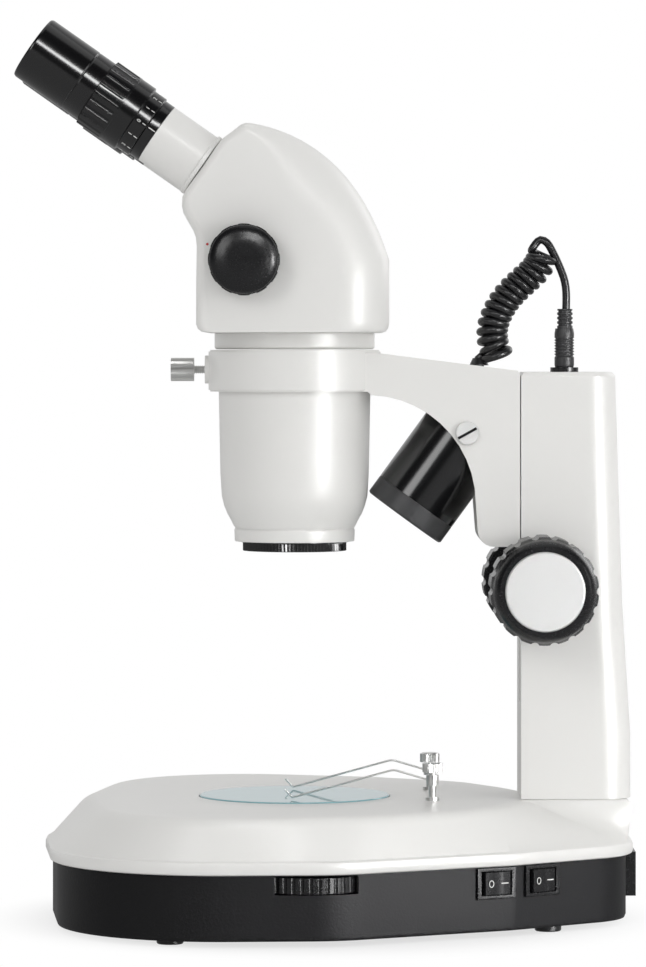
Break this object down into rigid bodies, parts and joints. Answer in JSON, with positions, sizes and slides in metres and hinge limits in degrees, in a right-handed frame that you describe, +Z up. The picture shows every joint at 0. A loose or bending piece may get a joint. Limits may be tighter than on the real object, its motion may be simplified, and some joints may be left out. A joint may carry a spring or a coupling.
{
  "type": "stereo microscope",
  "caption": "Stereo zoom microscope on a lit base: focusing column, swinging top lamp on a curly cord, turning zoom head with inclined eyepieces and sprung stage clips.",
  "frame": {"origin": "middle of the footprint, on the surface that the feet stand on", "axes": "+Z up, +X towards the rear of the base and the column, eyepieces towards -X, +Y to the user's left"},
  "size_m": [0.3077, 0.266, 0.446],
  "materials": {
    "white_paint": "satin off-white paint on cast aluminium",
    "black_texture": "fine textured black",
    "black_plastic": "semi-gloss moulded black",
    "black_anodised": "semi-gloss black anodised aluminium",
    "black_rubber": "soft black rubber",
    "steel": "bright plated steel",
    "satin_aluminium": "satin disc",
    "brass": "turned brass",
    "circuit_board": "circuit board with its parts",
    "stage_glass": "tinted plate glass",
    "lens_glass": "coated optical glass"
  },
  "bodies": {
    "stand": {"base_pan": "black_texture", "base_cover": "white_paint", "rubber_feet": "black_rubber", "base_screws": "steel", "stage_plate": "stage_glass", "stage_lamp_board": "circuit_board", "power_board": "circuit_board", "mains_inlet": "black_plastic", "switch_bezels": "black_plastic", "dimmer_pot": "steel", "clip_posts": "steel", "column": "white_paint", "column_bolts": "steel", "slide_rails": "steel", "shaft_bushes": "brass", "dc_jack": "black_plastic", "dc_plug": "black_rubber", "lamp_cord_lead": "black_rubber", "lamp_cord_coil": "black_rubber"},
    "arm": {"arm": "white_paint", "slide_carriage": "steel", "focus_rack": "steel", "cord_gland": "black_rubber", "lamp_cord_tail": "black_rubber"},
    "focus_drive": {"pinion_shaft": "steel", "focus_knobs": "black_plastic", "focus_knob_discs": "satin_aluminium"},
    "clamp": {"clamp_stud": "steel", "clamp_knob": "steel"},
    "lamp": {"lamp_housing": "black_anodised", "lamp_bezel": "black_plastic", "lamp_lens": "lens_glass", "lamp_led_board": "circuit_board", "lamp_pivot_screws": "steel"},
    "head": {"head_barrel": "white_paint", "neck_ring": "white_paint", "objective_ring": "black_anodised", "objective_lens": "lens_glass", "head_housing": "white_paint", "zoom_guide_rods": "steel", "prisms": "lens_glass"},
    "zoom_drive": {"zoom_knobs": "black_plastic", "zoom_shaft": "steel"},
    "zoom_carriage": {"zoom_carriage": "brass", "zoom_lenses": "lens_glass"},
    "eyepiece_left": {"eyepiece_tube_left": "white_paint", "eyepiece_barrel_left": "black_anodised", "eyecup_left": "black_anodised", "eye_lens_left": "lens_glass"},
    "eyepiece_right": {"eyepiece_tube_right": "white_paint", "eyepiece_barrel_right": "black_anodised", "eyecup_right": "black_anodised", "eye_lens_right": "lens_glass"},
    "diopter_left": {"diopter_ring_left": "black_anodised"},
    "diopter_right": {"diopter_ring_right": "black_anodised"},
    "rocker_front": {"rocker_front": "black_plastic"},
    "rocker_rear": {"rocker_rear": "black_plastic"},
    "dimmer": {"dimmer_wheel": "black_plastic"},
    "clip_left": {"stage_clip_left": "steel"},
    "clip_right": {"stage_clip_right": "steel"}
  },
  "joints": [
    {"name": "focus_travel", "type": "slide", "parent": "stand", "child": "arm", "axis": [0, 0, 1], "range_m": [-0.035, 0.015], "deforming": ["lamp_cord_coil"]},
    {"name": "focus_turn", "type": "hinge", "parent": "stand", "child": "focus_drive", "pos_m": [0.1068, 0, 0.166], "axis": [0, 1, 0], "range_deg": [-336, 145]},
    {"name": "head_turn", "type": "hinge", "parent": "arm", "child": "head", "pos_m": [-0.0152, 0, 0.2735], "axis": [0, 0, 1], "continuous": true},
    {"name": "clamp_turn", "type": "hinge", "parent": "arm", "child": "clamp", "pos_m": [-0.07, 0, 0.2737], "axis": [1, 0, 0], "range_deg": [-360, 0]},
    {"name": "lamp_tilt", "type": "hinge", "parent": "arm", "child": "lamp", "pos_m": [0.0704, 0, 0.2422], "axis": [0, -1, 0], "range_deg": [0, 15]},
    {"name": "zoom_turn", "type": "hinge", "parent": "head", "child": "zoom_drive", "pos_m": [-0.0395, 0, 0.3275], "axis": [0, 1, 0], "range_deg": [-135, 135]},
    {"name": "zoom_travel", "type": "slide", "parent": "head", "child": "zoom_carriage", "axis": [0, 0, 1], "range_m": [-0.01175, 0.01175]},
    {"name": "eye_slide_right", "type": "slide", "parent": "head", "child": "eyepiece_right", "axis": [0, -1, 0], "range_m": [-0.005, 0.005]},
    {"name": "eye_slide_left", "type": "slide", "parent": "head", "child": "eyepiece_left", "axis": [0, 1, 0], "range_m": [-0.005, 0.005]},
    {"name": "diopter_turn_left", "type": "hinge", "parent": "eyepiece_left", "child": "diopter_left", "pos_m": [-0.0598, 0.0325, 0.3738], "axis": [-0.8192, 0, 0.5736], "range_deg": [-150, 150]},
    {"name": "diopter_turn_right", "type": "hinge", "parent": "eyepiece_right", "child": "diopter_right", "pos_m": [-0.0598, -0.0325, 0.3738], "axis": [-0.8192, 0, 0.5736], "range_deg": [-150, 150]},
    {"name": "rocker_front_press", "type": "hinge", "parent": "stand", "child": "rocker_front", "pos_m": [0.0819, -0.0866, 0.0264], "axis": [0, 0, 1], "range_deg": [-14, 0]},
    {"name": "rocker_rear_press", "type": "hinge", "parent": "stand", "child": "rocker_rear", "pos_m": [0.1046, -0.0718, 0.0264], "axis": [0, 0, 1], "range_deg": [-14, 0]},
    {"name": "dimmer_turn", "type": "hinge", "parent": "stand", "child": "dimmer", "pos_m": [-0.008, -0.0996, 0.029], "axis": [0, 0, 1], "range_deg": [-270, 0]},
    {"name": "clip_left_turn", "type": "hinge", "parent": "stand", "child": "clip_left", "pos_m": [0.053, 0.0295, 0.0711], "axis": [0, 0, -1], "range_deg": [-12, 60]},
    {"name": "clip_right_turn", "type": "hinge", "parent": "stand", "child": "clip_right", "pos_m": [0.053, -0.0295, 0.0711], "axis": [0, 0, 1], "range_deg": [-12, 60]}
  ],
  "couplings": [
    {"joint": "focus_turn", "follows": "focus_travel", "rad_per_m": 166.67},
    {"joint": "zoom_turn", "follows": "zoom_travel", "rad_per_m": -200},
    {"joint": "eye_slide_left", "follows": "eye_slide_right", "ratio": 1}
  ]
}
